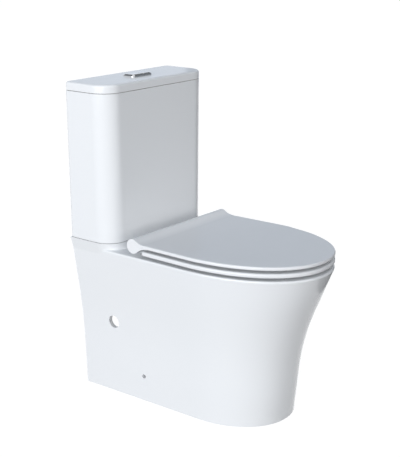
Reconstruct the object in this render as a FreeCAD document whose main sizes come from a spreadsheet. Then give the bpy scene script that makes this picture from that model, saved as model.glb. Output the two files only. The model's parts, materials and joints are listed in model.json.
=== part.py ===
import FreeCAD, Part
import math
import os
from types import SimpleNamespace

import Sketcher
from FreeCAD import Placement, Rotation, Vector

doc = FreeCAD.newDocument("toilet")

# Driving dimensions in millimetres. A reach is measured from the wall towards the front.
SIZES = {
    # pan, outside
    "pan_length": 647,
    "rim_height": 400,
    "rim_width": 365,
    "rim_nose": 284,
    "foot_length": 544.5,
    "foot_width": 276,
    "foot_nose": 173,
    "nose_fullness": 2.1,
    "rear_spread": 5,
    "lower_lean": 0.4,
    "bend_start": 0.3,
    "bend_end": 0.7,
    "rim_edge": 4,
    "skirt_wall": 11,
    "deck_thickness": 14,
    "plinth_height": 17,
    "plinth_foot": 7,
    "plinth_lean": 0.28,
    # pan, bowl and waterways
    "bowl_length": 325,
    "bowl_width": 270,
    "bowl_ledge": 52,
    "bowl_wall": 10,
    "bowl_edge": 5,
    "sump_reach": 398,
    "sump_height": 52,
    "sump_radius": 40,
    "trap_bore": 41,
    "trap_wall": 10,
    "trap_start_height": 94,
    "weir_reach": 300,
    "weir_end_reach": 222,
    "weir_height": 206,
    "trap_bend": 60,
    "outlet_reach": 150,
    "outlet_height": 185,
    "outlet_setback": 20,
    "duct_bore": 24,
    "duct_wall": 9,
    "duct_drop": 48,
    "inlet_bore": 28,
    # pan, holes in the skirt
    "access_radius": 17,
    "access_reach": 110,
    "access_height": 199,
    "fixing_radius": 5.5,
    "fixing_reach": 202.5,
    "fixing_height": 68.5,
    # cistern
    "pad_height": 1,
    "pad_radius": 9,
    "pad_margin": 24.5,
    "pad_pitch": 84,
    "cistern_width": 388,
    "cistern_foot_width": 379,
    "cistern_depth": 140,
    "cistern_height": 375,
    "cistern_corner": 50,
    "cistern_back_corner": 12,
    "cistern_back_trim": 1,
    "cistern_wall": 9,
    "cistern_floor": 12,
    "seam_edge": 1,
    "lid_height": 21,
    "lid_top": 10,
    "lid_edge": 6,
    "lid_lip": 8,
    "lid_lip_wall": 6,
    "lid_play": 2,
    "lid_pad_height": 1,
    "lid_pad_radius": 2.5,
    "lid_pad_pitch": 40,
    # seat
    "seat_width": 369,
    "seat_rear_width": 362,
    "seat_nose": 269,
    "seat_overhang": 0.6,
    "ring_gap": 8,
    "ring_thickness": 11,
    "ring_inset": 0.3,
    "ring_rear_reach": 228,
    "ring_rear_corner": 12,
    "ring_hole_width": 226,
    "ring_rear_band": 71.6,
    "ring_hole_ledge": 61.8,
    "ring_edge": 4,
    "lid_gap": 7.5,
    "seat_lid_thickness": 9,
    "seat_lid_edge": 3.5,
    "buffer_radius": 9,
    "buffer_gap": 0.2,
    # seat hinge
    "hinge_reach": 205,
    "hinge_height": 27.5,
    "hinge_spacing": 155,
    "barrel_radius": 18.5,
    "barrel_blend_top": 40,
    "barrel_blend_under": 50,
    "hood_wall": 3.3,
    "hood_angle": 130,
    "hood_half": 95,
    "knuckle_radius": 13.5,
    "knuckle_half": 62,
    "post_width": 20,
    "post_depth": 16,
    "post_radius": 10.5,
    "post_foot_radius": 23,
    "post_foot_height": 7,
    "rose_radius": 20,
    "rose_height": 5,
    "pin_radius": 4,
    "pin_inner": 45,
    "pin_outer": 118,
    "damper_radius": 8,
    "damper_length": 40,
    "seat_bolt_radius": 4,
    "seat_bolt_head_radius": 7,
    "seat_bolt_head_height": 3,
    "seat_bolt_length": 30,
    "bush_radius": 7.8,
    "running_play": 0.06,
    "free_play": 0.3,
    "hole_play": 2,
    # flush plate
    "button_reach": 68,
    "frame_length": 74,
    "frame_width": 40,
    "frame_height": 5,
    "frame_corner": 8,
    "frame_edge": 3,
    "sleeve_length": 68,
    "sleeve_width": 34,
    "sleeve_wall": 2,
    "sleeve_depth": 25,
    "sleeve_corner": 5,
    "button_play": 0.3,
    "button_split": 6,
    "button_rise": 0.8,
    "button_height": 14,
    "button_edge": 1,
    "button_travel": 6,
    "clamp_margin": 8,
    "clamp_height": 4,
    "rod_radius": 3,
    "rod_tip_radius": 1,
    "rod_tip_length": 5,
    "rod_spread": 24,
    "rod_gap": 0.5,
    "spring_radius": 5,
    "spring_wire": 0.45,
    "spring_turns": 5,
    # flush valve
    "tail_radius": 29,
    "tail_bore": 25,
    "tail_length": 26,
    "valve_washer_height": 3,
    "valve_flange_radius": 42,
    "valve_flange_height": 4,
    "valve_seat_height": 2.5,
    "valve_nut_radius": 40,
    "valve_nut_height": 10,
    "gasket_inner": 41,
    "gasket_outer": 47,
    "gasket_play": 1,
    "cage_radius": 37.5,
    "cage_wall": 3.5,
    "cage_height": 78,
    "cage_window_width": 34,
    "cage_window_height": 50,
    "cage_sill": 10,
    "neck_radius": 18,
    "neck_height": 125,
    "head_height": 8,
    "pillar_width": 12,
    "pillar_depth": 4,
    "pillar_half": 17,
    "lever_height": 720,
    "lever_thickness": 6,
    "lever_width": 6,
    "lever_offset": 5,
    "lever_lift": 22,
    "lever_end": 27.5,
    "lever_boss": 6,
    "lever_pin_radius": 2.5,
    "tube_radius": 14,
    "tube_wall": 2,
    "tube_top": 700,
    "tube_play": 0.5,
    "eye_thickness": 4,
    "eye_cheek": 1.5,
    "eye_window": 9,
    "eye_top": 5,
    "eye_arm_drop": 40,
    "seal_radius": 33,
    "seal_height": 5,
    "half_float_length": 26,
    "half_float_width": 24,
    "half_float_height": 42,
    # fill valve
    "fill_margin": 64,
    "shank_radius": 11.2,
    "shank_length": 55,
    "inlet_radius": 10.45,
    "inlet_length": 26,
    "shank_bore": 6,
    "fill_washer_height": 3,
    "fill_flange_radius": 17,
    "fill_flange_height": 4,
    "fill_nut_radius": 17,
    "fill_nut_height": 10,
    "fill_pass_radius": 24,
    "riser_radius": 10,
    "riser_top": 690,
    "fill_head_radius": 17,
    "fill_head_height": 32,
    "fill_float_radius": 29,
    "fill_float_wall": 2,
    "fill_float_height": 90,
    "fill_float_top": 650,
    "fill_pivot": 12,
    "fill_link": 26,
    "fill_lever_rise": 5,
    "fill_pin_radius": 1.6,
    "fill_ear": 2.5,
    # cistern fixings
    "bolt_spread": 80,
    "bolt_radius": 4,
    "bolt_hole": 6,
    "bolt_head_radius": 8,
    "bolt_head_height": 6,
    "bolt_seal_radius": 14,
    "bolt_seal_height": 4,
    "bolt_washer_radius": 13,
    "bolt_washer_height": 2,
    "wing_hub_radius": 8,
    "wing_span": 17,
    "wing_thickness": 4,
    "wing_height": 10,
    "bolt_tail": 6,
    # fixings of the pan on the floor
    "bracket_length": 54,
    "bracket_width": 36,
    "bracket_base": 6,
    "bracket_upright": 12,
    "bracket_height": 84,
    "floor_hole_radius": 4,
    "floor_hole_spread": 92,
    "side_screw_radius": 2.5,
    "side_screw_head": 5,
    "side_screw_head_height": 3,
    "side_screw_recess": 6,
}

sheet = doc.addObject("Spreadsheet::Sheet", "Sizes")
for row, (alias, number) in enumerate(SIZES.items(), start=1):
    sheet.set(f"A{row}", alias)
    sheet.set(f"B{row}", str(number))
    sheet.setAlias(f"B{row}", alias)
doc.recompute()


class Size:
    """A number together with the sheet expression that it comes from."""

    def __init__(self, number, text):
        self.number = number
        self.text = text

    def __float__(self):
        return self.number

    def join(self, sign, other, number):
        return Size(number, f"({self.text} {sign} {wording(other)})")

    def __add__(self, other):
        return self.join("+", other, self.number + float(other))

    def __sub__(self, other):
        return self.join("-", other, self.number - float(other))

    def __mul__(self, other):
        return self.join("*", other, self.number * float(other))

    def __truediv__(self, other):
        return self.join("/", other, self.number / float(other))

    def __neg__(self):
        return Size(-self.number, f"(0 - {self.text})")


def wording(value):
    return value.text if isinstance(value, Size) else repr(float(value))


size = SimpleNamespace(**{alias: Size(float(sheet.get(alias)), f"Sizes.{alias}") for alias in SIZES})
mm = SimpleNamespace(**{alias: float(sheet.get(alias)) for alias in SIZES})
zero = Size(0.0, "0")

# Levels and planes that several pieces share
wall = size.pan_length / 2
deck = size.rim_height
deck_under = deck - size.deck_thickness
plinth_top = deck + size.plinth_height
tank_base = plinth_top + size.pad_height
tank_floor = tank_base + size.cistern_floor
tank_top = tank_base + size.cistern_height
lid_base = tank_top + size.lid_pad_height
lid_face = lid_base + size.lid_height
lid_plate = lid_face - size.lid_top
ring_base = deck + size.ring_gap
ring_face = ring_base + size.ring_thickness
seat_lid_base = ring_face + size.lid_gap
hinge_level = deck + size.hinge_height
valve_level = tank_floor + size.valve_washer_height
valve_deck = valve_level + size.valve_flange_height
fill_level = tank_floor + size.fill_washer_height
pivot_level = size.lever_height
pad_spread = size.cistern_foot_width / 2 - size.pad_margin
lid_pad_spread = size.cistern_width / 2 - size.cistern_wall / 2
fill_spread = size.cistern_width / 2 - size.fill_margin

subparts = {}


def point(x, y, z):
    return Vector(float(x), float(y), float(z))


def bind(thing, path, value):
    thing.setExpression(path, wording(value))


def place(thing, x, y, z):
    bind(thing, "Placement.Base.x", x)
    bind(thing, "Placement.Base.y", y)
    bind(thing, "Placement.Base.z", z)


def keep(label, thing):
    thing.Label = label
    subparts[label] = thing
    return thing


def shaped(label, shape):
    """A sub-part from a finished shape, drawn with the wall at y = 0 and moved to its place."""
    thing = doc.addObject("Part::Feature", label)
    thing.Shape = shape
    place(thing, zero, wall, zero)
    return keep(label, thing)


def new_body(name):
    return doc.addObject("PartDesign::Body", name)


def new_sketch(body, name, role, offset=zero):
    planes = [plane for plane in body.Origin.OriginFeatures if plane.Role == role]
    sketch = body.newObject("Sketcher::SketchObject", name)
    sketch.AttachmentSupport = [(planes[0], "")]
    sketch.MapMode = "FlatFace"
    bind(sketch, "AttachmentOffset.Base.z", offset)
    return sketch


def pin_down(sketch, kind, element, corner, value):
    number = sketch.addConstraint(Sketcher.Constraint(kind, -1, 1, element, corner, float(value)))
    bind(sketch, f"Constraints[{number}]", value)


def polygon(body, name, role, corners, offset=zero):
    """Closed outline whose corners are held at their distances from the origin."""
    sketch = new_sketch(body, name, role, offset)
    count = len(corners)
    for index, corner in enumerate(corners):
        after = corners[(index + 1) % count]
        sketch.addGeometry(Part.LineSegment(point(*corner, 0), point(*after, 0)))
    for index in range(count):
        sketch.addConstraint(Sketcher.Constraint("Coincident", index, 2, (index + 1) % count, 1))
    for index, (across, along) in enumerate(corners):
        pin_down(sketch, "DistanceX", index, 1, across)
        pin_down(sketch, "DistanceY", index, 1, along)
    return sketch


def rounded(body, name, half, front, back, front_radius, back_radius, offset=zero):
    """Rectangle with round corners in the XY plane, mirrored about x = 0."""
    return rounded_between(body, name, -half, half, front, back, front_radius, back_radius, offset)


def rounded_between(body, name, left, right, front, back, front_radius, back_radius, offset=zero):
    sketch = new_sketch(body, name, "XY_Plane", offset)
    x0, x1, y0, y1 = float(left), float(right), float(front), float(back)
    radius0, radius1 = float(front_radius), float(back_radius)
    centres = [(x1 - radius0, y0 + radius0, radius0), (x1 - radius1, y1 - radius1, radius1),
               (x0 + radius1, y1 - radius1, radius1), (x0 + radius0, y0 + radius0, radius0)]
    starts = [(x0 + radius0, y0), (x1, y0 + radius0), (x1 - radius1, y1), (x0, y1 - radius1)]
    ends = [(x1 - radius0, y0), (x1, y1 - radius1), (x0 + radius1, y1), (x0, y0 + radius0)]
    for turn in range(4):
        sketch.addGeometry(Part.LineSegment(point(*starts[turn], 0), point(*ends[turn], 0)))
        x, y, radius = centres[turn]
        circle = Part.Circle(point(x, y, 0), Vector(0, 0, 1), radius)
        first = math.pi / 2 * (turn - 1)
        sketch.addGeometry(Part.ArcOfCircle(circle, first, first + math.pi / 2))
    for element in range(8):
        sketch.addConstraint(Sketcher.Constraint("Tangent", element, 2, (element + 1) % 8, 1))
    for element, kind in ((0, "Horizontal"), (2, "Vertical"), (4, "Horizontal"), (6, "Vertical")):
        sketch.addConstraint(Sketcher.Constraint(kind, element))
    for element, radius in ((1, front_radius), (3, back_radius), (5, back_radius), (7, front_radius)):
        number = sketch.addConstraint(Sketcher.Constraint("Radius", element, float(radius)))
        bind(sketch, f"Constraints[{number}]", radius)
    pin_down(sketch, "DistanceY", 0, 1, front)
    pin_down(sketch, "DistanceX", 2, 1, right)
    pin_down(sketch, "DistanceY", 4, 1, back)
    pin_down(sketch, "DistanceX", 6, 1, left)
    return sketch


def add_circle(sketch, x, y, radius):
    element = sketch.addGeometry(Part.Circle(point(x, y, 0), Vector(0, 0, 1), float(radius)))
    number = sketch.addConstraint(Sketcher.Constraint("Radius", element, float(radius)))
    bind(sketch, f"Constraints[{number}]", radius)
    pin_down(sketch, "DistanceX", element, 3, x)
    pin_down(sketch, "DistanceY", element, 3, y)


def extrude(body, kind, name, sketch, length, reverse=False, middle=False):
    feature = body.newObject(f"PartDesign::{kind}", name)
    feature.Profile = sketch
    bind(feature, "Length", length)
    feature.Reversed = reverse
    feature.SideType = "Symmetric" if middle else "One side"
    body.Tip = feature
    return feature


def dress(body, kind, name, amount, wanted):
    """Fillet or Chamfer on the edges of the body's last feature that the test picks."""
    measures = {"Fillet": "Radius", "Chamfer": "Size"}
    doc.recompute()
    base = body.Tip
    names = [f"Edge{index}" for index, edge in enumerate(base.Shape.Edges, start=1) if wanted(edge)]
    feature = body.newObject(f"PartDesign::{kind}", name)
    feature.Base = (base, names)
    bind(feature, measures[kind], amount)
    body.Tip = feature
    return feature


def level_edge(height):
    """Test for edges that lie flat at one height of their body."""
    return lambda edge: abs(edge.BoundBox.ZMin - height) < 0.01 and abs(edge.BoundBox.ZMax - height) < 0.01


def turned(label, corners, x, y, z):
    """Body turned about a vertical axis from corners given as radius and height."""
    body = new_body(label)
    sketch = polygon(body, f"{label}_profile", "XZ_Plane", corners)
    turn = body.newObject("PartDesign::Revolution", f"{label}_turn")
    turn.Profile = sketch
    turn.ReferenceAxis = (sketch, ["V_Axis"])
    turn.Angle = 360
    body.Tip = turn
    place(body, x, y, z)
    return body


def tube_profile(inner, outer, base, top):
    return [(inner, base), (outer, base), (outer, top), (inner, top)]


def box(name, x0, x1, y0, y1, z0, z1):
    """Box between named planes."""
    block = doc.addObject("Part::Box", name)
    bind(block, "Length", x1 - x0)
    bind(block, "Width", y1 - y0)
    bind(block, "Height", z1 - z0)
    place(block, x0, y0, z0)
    return block


def cylinder(name, radius, length, x, y, z, direction=Vector(0, 0, 1)):
    rod = doc.addObject("Part::Cylinder", name)
    bind(rod, "Radius", radius)
    bind(rod, "Height", length)
    rod.Placement = Placement(Vector(0, 0, 0), Rotation(Vector(0, 0, 1), direction))
    place(rod, x, y, z)
    return rod


def fuse(name, pieces):
    joined = doc.addObject("Part::MultiFuse", name)
    joined.Shapes = pieces
    return joined


def cut(name, base, tools):
    result = doc.addObject("Part::Cut", name)
    result.Base = base
    result.Tool = tools[0] if len(tools) == 1 else fuse(f"{name}_tools", tools)
    return result


def mirrored(name, source):
    copy = doc.addObject("Part::Mirroring", name)
    copy.Source = source
    copy.Normal = Vector(1, 0, 0)
    return copy


def pair(label, source):
    """Node of two equal solids, one on each side of the middle plane."""
    group = doc.addObject("Part::Compound", label)
    group.Links = [source, mirrored(f"{label}_other", source)]
    return keep(label, group)


def nut(label, radius, bore, height, x, y, z):
    """Hexagon nut, its radius measured to the points."""
    body = new_body(label)
    turns = [math.radians(60 * corner) for corner in range(6)]
    outline = [(radius * math.cos(turn), radius * math.sin(turn)) for turn in turns]
    sketch = polygon(body, f"{label}_outline", "XY_Plane", outline)
    add_circle(sketch, zero, zero, bore)
    extrude(body, "Pad", f"{label}_pad", sketch, height)
    place(body, x, y, z)
    return body


def block(name, x, y, z, length, width, height):
    """Box about its middle point."""
    return box(name, x - length / 2, x + length / 2, y - width / 2, y + width / 2,
               z - height / 2, z + height / 2)


def between(first, last, share):
    return first + (last - first) * share


# China pan
def front_outline(half, rear_half, tip, nose, back, z):
    """Closed wire: straight back and sides, and a nose that is a superellipse."""
    shoulder = nose - tip
    steps = 16
    points = []
    for step in range(steps + 1):
        turn = math.pi * step / steps
        across = math.copysign(abs(math.cos(turn)) ** (2 / mm.nose_fullness), -math.cos(turn))
        along = math.sin(turn) ** (2 / mm.nose_fullness)
        points.append(Vector(half * across, shoulder - nose * along, z))
    left, right = Vector(-rear_half, -back, z), Vector(rear_half, -back, z)
    curve = Part.BSplineCurve()
    curve.interpolate(Points=points, InitialTangent=points[0] - left, FinalTangent=right - points[-1])
    return Part.Wire([
        Part.LineSegment(left, points[0]).toShape(),
        curve.toShape(),
        Part.LineSegment(points[-1], right).toShape(),
        Part.LineSegment(right, left).toShape(),
    ])


def flare(share):
    """How far the skirt has opened out at a share of its height: straight, bend, straight."""
    middle = (mm.bend_start + mm.bend_end) / 2
    gain = (1 - mm.lower_lean) / (1 - middle)
    if share < mm.bend_start:
        opened = 0
    elif share < mm.bend_end:
        opened = (share - mm.bend_start) ** 2 / (2 * (mm.bend_end - mm.bend_start))
    else:
        opened = share - middle
    return mm.lower_lean * share + gain * opened


def rim_corner(foot, rim):
    """Reach of the rim's sharp corner, from which its round edge is cut back to the wanted reach."""
    steepness = flare(1) - flare(mm.bend_end)
    lean = (rim - foot) * steepness / (1 - mm.bend_end) / mm.rim_height
    return rim + mm.rim_edge * (lean + math.hypot(1, lean) - 1)


def skirt_section(z, inset=0, overrun=0):
    share = flare(max(z, 0) / mm.rim_height)
    half = between(mm.foot_width / 2, rim_corner(mm.foot_width / 2, mm.rim_width / 2), share) - inset
    rear_half = half + mm.rear_spread * (1 - share)
    tip = between(mm.foot_length, rim_corner(mm.foot_length, mm.pan_length), share) - inset
    nose = between(mm.foot_nose, mm.rim_nose, share) - inset
    return front_outline(half, rear_half, tip, nose, -overrun, z)


def plinth_section(z, half, front, corner):
    """Closed wire with round front corners and its back on the wall."""
    slant = corner * math.sqrt(0.5)
    turn = corner - front

    def spot(side, across, along):
        return Vector(side * across, along, z)

    def corner_points(side):
        bulge = spot(side, half - corner + slant, turn - slant)
        return spot(side, half, turn), bulge, spot(side, half - corner, -front)

    left, right = corner_points(-1), corner_points(1)
    back_left, back_right = spot(-1, half, 0), spot(1, half, 0)
    return Part.Wire([
        Part.LineSegment(back_left, left[0]).toShape(),
        Part.Arc(*left).toShape(),
        Part.LineSegment(left[2], right[2]).toShape(),
        Part.Arc(*reversed(right)).toShape(),
        Part.LineSegment(right[0], back_right).toShape(),
        Part.LineSegment(back_right, back_left).toShape(),
    ])


def plinth_level(rise):
    """Outline of the plinth at a share of its height above the deck."""
    z = mm.rim_height + rise * mm.plinth_height
    half = mm.cistern_foot_width / 2 - mm.plinth_lean * (1 - rise) * mm.plinth_height
    spread = mm.plinth_foot * (1 - max(rise, 0)) ** 3
    return plinth_section(z, half, mm.cistern_depth + spread, mm.cistern_corner + spread)


def plinth_shape():
    """Raised seat of the cistern: its sides lean out of the skirt, its foot spreads into the deck."""
    foot = Part.makeLoft([plinth_level(rise) for rise in (0, 0.25, 0.5, 0.75, 1)], True, False)
    root = Part.makeLoft([plinth_level(rise) for rise in (-4, 0)], True, True)
    return foot.fuse(root)


def bowl_section(share, grow, z):
    """Closed oval of the bowl at a share of its depth."""
    shrink = (1 - share ** 1.5) ** 0.75
    half_length = between(mm.sump_radius, mm.bowl_length / 2, shrink) + grow
    half_width = between(mm.sump_radius, mm.bowl_width / 2, shrink) + grow
    opening_reach = mm.pan_length - mm.bowl_ledge - mm.bowl_length / 2
    middle = -between(opening_reach, mm.sump_reach, share)
    points = []
    for step in range(16):
        turn = 2 * math.pi * step / 16
        points.append(Vector(half_width * math.sin(turn), middle - half_length * math.cos(turn), z))
    curve = Part.BSplineCurve()
    curve.interpolate(Points=points, PeriodicFlag=True)
    return Part.Wire([curve.toShape()])


def bowl_shape(grow, top_share):
    """Bowl from a share of its depth down to the sump."""
    low = mm.sump_height - grow
    shares = (top_share, 0.15, 0.3, 0.5, 0.7, 0.85, 0.95, 1)
    sections = [bowl_section(share, grow, between(mm.rim_height, low, share)) for share in shares]
    return Part.makeLoft(sections, True, False)


def bowl_hollow():
    """Inside of the bowl with a mouth that flares into a round edge and runs out just over the rim."""
    turns = [math.radians(15 * step) for step in range(7)]
    drop = mm.bowl_edge * math.sin(turns[-2])
    share = drop / (mm.rim_height - mm.sump_height)
    flared = []
    for turn in turns:
        grow = mm.bowl_edge * (1 - math.cos(turn))
        flared.append(bowl_section(share, grow, mm.rim_height - drop + mm.bowl_edge * math.sin(turn)))
    return bowl_shape(0, share).fuse(Part.makeLoft(flared, True, False))


def bent_path(corners, bend):
    """Wire of straight runs joined by arcs."""
    edges = []
    start = corners[0]
    for before, corner, after in zip(corners, corners[1:], corners[2:]):
        arriving = (corner - before).normalize()
        leaving = (after - corner).normalize()
        half_turn = arriving.getAngle(leaving) / 2
        trim = bend * math.tan(half_turn)
        first = corner - arriving * trim
        last = corner + leaving * trim
        inward = (leaving - arriving).normalize()
        middle = corner + inward * (bend / math.cos(half_turn) - bend)
        edges.append(Part.LineSegment(start, first).toShape())
        edges.append(Part.Arc(first, middle, last).toShape())
        start = last
    edges.append(Part.LineSegment(start, corners[-1]).toShape())
    return Part.Wire(edges)


def trap_shape(radius, extra):
    """Waste passage from the sump over the weir to the outlet."""
    corners = [
        Vector(0, -mm.sump_reach, mm.trap_start_height),
        Vector(0, -mm.weir_reach, mm.weir_height),
        Vector(0, -mm.weir_end_reach, mm.weir_height),
        Vector(0, -mm.outlet_reach, mm.outlet_height),
        Vector(0, -mm.outlet_setback + extra, mm.outlet_height),
    ]
    circle = Part.Circle(corners[0], corners[1] - corners[0], radius)
    return bent_path(corners, mm.trap_bend).makePipeShell([Part.Wire([circle.toShape()])], True, False)


def duct_shape(radius, horn_radius, top, forward):
    """Flush way from under the cistern to the back of the bowl."""
    level = mm.rim_height - mm.duct_drop
    start = Vector(0, -mm.button_reach, level)
    horn_base = Vector(0, -mm.button_reach, level - radius)
    run = Part.makeCylinder(radius, forward - mm.button_reach, start, Vector(0, -1, 0))
    return run.fuse(Part.makeCylinder(horn_radius, top - level + radius, horn_base))


def upright_hole(radius, x, reach):
    base = Vector(x, -reach, float(deck_under) - mm.deck_thickness)
    return Part.makeCylinder(radius, 2 * mm.rim_height, base)


def skirt_hole(radius, reach, z, side):
    start = Vector(side * mm.foot_width / 3, -reach, z)
    return Part.makeCylinder(radius, mm.rim_width, start, Vector(side, 0, 0))


def pan_shape():
    levels = [mm.rim_height * share for share in (0, 0.15, 0.3, 0.4, 0.5, 0.6, 0.7, 0.85, 1)]
    outside = Part.makeLoft([skirt_section(z) for z in levels], True, False)
    top_edge = level_edge(mm.rim_height)
    rim_edges = [edge for edge in outside.Edges if top_edge(edge) and edge.CenterOfMass.y < -1]
    outside = outside.makeFillet(mm.rim_edge, rim_edges).fuse(plinth_shape())

    hollow_levels = [z for z in levels if z < float(deck_under)] + [float(deck_under)]
    hollow_levels[0] = -mm.skirt_wall
    hollow_sections = [skirt_section(z, mm.skirt_wall, mm.skirt_wall) for z in hollow_levels]
    hollow = Part.makeLoft(hollow_sections, True, False)
    bowl_rear = mm.pan_length - mm.bowl_ledge - mm.bowl_length
    horn_radius = mm.inlet_bore + mm.duct_wall
    kept = [
        bowl_shape(mm.bowl_wall, 0),
        trap_shape(mm.trap_bore + mm.trap_wall, 0),
        duct_shape(mm.duct_bore + mm.duct_wall, horn_radius, mm.rim_height, bowl_rear + mm.bowl_wall),
    ]
    for piece in kept:
        hollow = hollow.cut(piece)

    duct_top = mm.rim_height + mm.plinth_height
    gasket_seat = Vector(0, -mm.button_reach, mm.rim_height)
    removed = [
        bowl_hollow(),
        trap_shape(mm.trap_bore, mm.trap_wall),
        duct_shape(mm.duct_bore, mm.inlet_bore, duct_top, bowl_rear + mm.bowl_wall * 3),
        Part.makeCylinder(mm.gasket_outer + mm.gasket_play, mm.rim_height, gasket_seat),
        upright_hole(mm.fill_pass_radius, -float(fill_spread), mm.button_reach),
    ]
    for side in (-1, 1):
        removed.append(upright_hole(mm.bolt_hole, side * mm.bolt_spread, mm.button_reach))
        removed.append(upright_hole(mm.bush_radius, side * mm.hinge_spacing / 2, mm.hinge_reach))
        removed.append(skirt_hole(mm.access_radius, mm.access_reach, mm.access_height, side))
        removed.append(skirt_hole(mm.fixing_radius, mm.fixing_reach, mm.fixing_height, side))
    china = outside.cut(hollow)
    for piece in removed:
        china = china.cut(piece)
    return china.removeSplitter().Solids[0]


shaped("pan", pan_shape())


# China cistern
def loft(body, kind, name, first, last):
    feature = body.newObject(f"PartDesign::{kind}", name)
    feature.Profile = first
    feature.Sections = [last]
    feature.Ruled = True
    body.Tip = feature
    return feature


def plan(body, name, width, inset, offset, overrun=zero):
    """Outline of the cistern at one level, or one that lies inside it by an inset."""
    return rounded(body, name, width / 2 - inset, inset - size.cistern_depth, overrun - inset,
                   size.cistern_corner - inset, size.cistern_back_corner - inset / 2, offset)


def outer_edge(edge):
    """Test for the tank's bottom and top outside edges, at its front and sides."""
    box = edge.BoundBox
    level = level_edge(0)(edge) or level_edge(mm.cistern_height)(edge)
    side = max(box.XMax, -box.XMin) > mm.cistern_foot_width / 2 - 0.1
    return level and (side or box.YMin < 0.1 - mm.cistern_depth)


def make_cistern_tank():
    body = new_body("cistern_tank")
    base = plan(body, "tank_base", size.cistern_foot_width, zero, zero, size.cistern_back_trim)
    top = plan(body, "tank_top", size.cistern_width, zero, size.cistern_height, size.cistern_back_trim)
    loft(body, "AdditiveLoft", "tank_outside", base, top)
    right, high = size.cistern_width, size.cistern_height * 2
    corners = [(-right, -high), (right, -high), (right, high), (-right, high)]
    behind = polygon(body, "tank_back", "XZ_Plane", corners)
    extrude(body, "Pocket", "tank_back_trim", behind, size.cistern_back_trim * 2)
    floor = plan(body, "tank_floor", size.cistern_foot_width, size.cistern_wall, size.cistern_floor)
    mouth = plan(body, "tank_mouth", size.cistern_width, size.cistern_wall, size.cistern_height)
    loft(body, "SubtractiveLoft", "tank_inside", floor, mouth)
    holes = new_sketch(body, "tank_holes", "XY_Plane")
    add_circle(holes, zero, -size.button_reach, size.tail_radius + size.hole_play)
    add_circle(holes, -fill_spread, -size.button_reach, size.shank_radius + size.hole_play)
    for spread in (-size.bolt_spread, size.bolt_spread):
        add_circle(holes, spread, -size.button_reach, size.bolt_hole)
    extrude(body, "Pocket", "tank_drillings", holes, size.cistern_floor * 2, reverse=True)
    dress(body, "Fillet", "tank_edges", size.seam_edge, outer_edge)
    place(body, zero, wall, tank_base)
    return keep("cistern_tank", body)


def make_cistern_lid():
    body = new_body("cistern_lid")
    outside = plan(body, "lid_outside", size.cistern_width, zero, zero)
    extrude(body, "Pad", "lid_block", outside, size.lid_height)
    dress(body, "Fillet", "lid_top_edge", size.lid_edge, level_edge(mm.lid_height))
    dress(body, "Fillet", "lid_seam_edge", size.seam_edge, level_edge(0))
    lip_inset = size.cistern_wall + size.lid_play
    lip = plan(body, "lid_lip", size.cistern_width, lip_inset, zero)
    extrude(body, "Pad", "lid_lip_block", lip, size.lid_lip, reverse=True)
    hollow = plan(body, "lid_hollow", size.cistern_width, lip_inset + size.lid_lip_wall, -size.lid_lip)
    depth = size.lid_lip + size.lid_height - size.lid_top
    extrude(body, "Pocket", "lid_inside", hollow, depth, reverse=True)
    slot = rounded(body, "lid_slot", size.sleeve_length / 2 + size.free_play,
                   -size.button_reach - size.sleeve_width / 2 - size.free_play,
                   -size.button_reach + size.sleeve_width / 2 + size.free_play,
                   size.sleeve_corner, size.sleeve_corner)
    extrude(body, "Pocket", "lid_opening", slot, size.lid_height * 2, reverse=True)
    place(body, zero, wall, lid_base)
    return keep("cistern_lid", body)


def make_pads(label, radius, height, spread, pitch, base):
    """Four discs that a piece of china stands on."""
    pads = []
    for side in (-1, 1):
        for step in (-1, 1):
            reach = size.cistern_depth / 2 + pitch / 2 * step
            pads.append(cylinder(f"{label}_disc", radius, height, spread * side, wall - reach, base))
    group = doc.addObject("Part::Compound", label)
    group.Links = pads
    return keep(label, group)


make_cistern_tank()
make_cistern_lid()
make_pads("tank_pads", size.pad_radius, size.pad_height, pad_spread, size.pad_pitch, plinth_top)
make_pads("lid_pads", size.lid_pad_radius, size.lid_pad_height, lid_pad_spread, size.lid_pad_pitch, tank_top)


# Seat, drawn with the wall at y = 0
def seat_outline(inset, back, z):
    half = mm.seat_width / 2 - inset
    rear_half = mm.seat_rear_width / 2 - inset
    tip = mm.pan_length - mm.seat_overhang - inset
    return front_outline(half, rear_half, tip, mm.seat_nose - inset, back, z)


def ring_hole(grow):
    """Half length, half width and middle reach of the opening in the ring."""
    front = mm.pan_length - mm.seat_overhang - mm.ring_hole_ledge
    rear = mm.ring_rear_reach + mm.ring_rear_band
    return (front - rear) / 2 + grow, mm.ring_hole_width / 2 + grow, (front + rear) / 2


def seat_spot(turn):
    """Middle of the ring's band, at a turn round its opening from the front."""
    half_length, half_width, middle = ring_hole(mm.ring_hole_ledge / 2)
    return half_width * math.sin(turn), -middle - half_length * math.cos(turn)


def upright(edge):
    return abs(edge.BoundBox.ZLength - mm.ring_thickness) < 0.01


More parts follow.
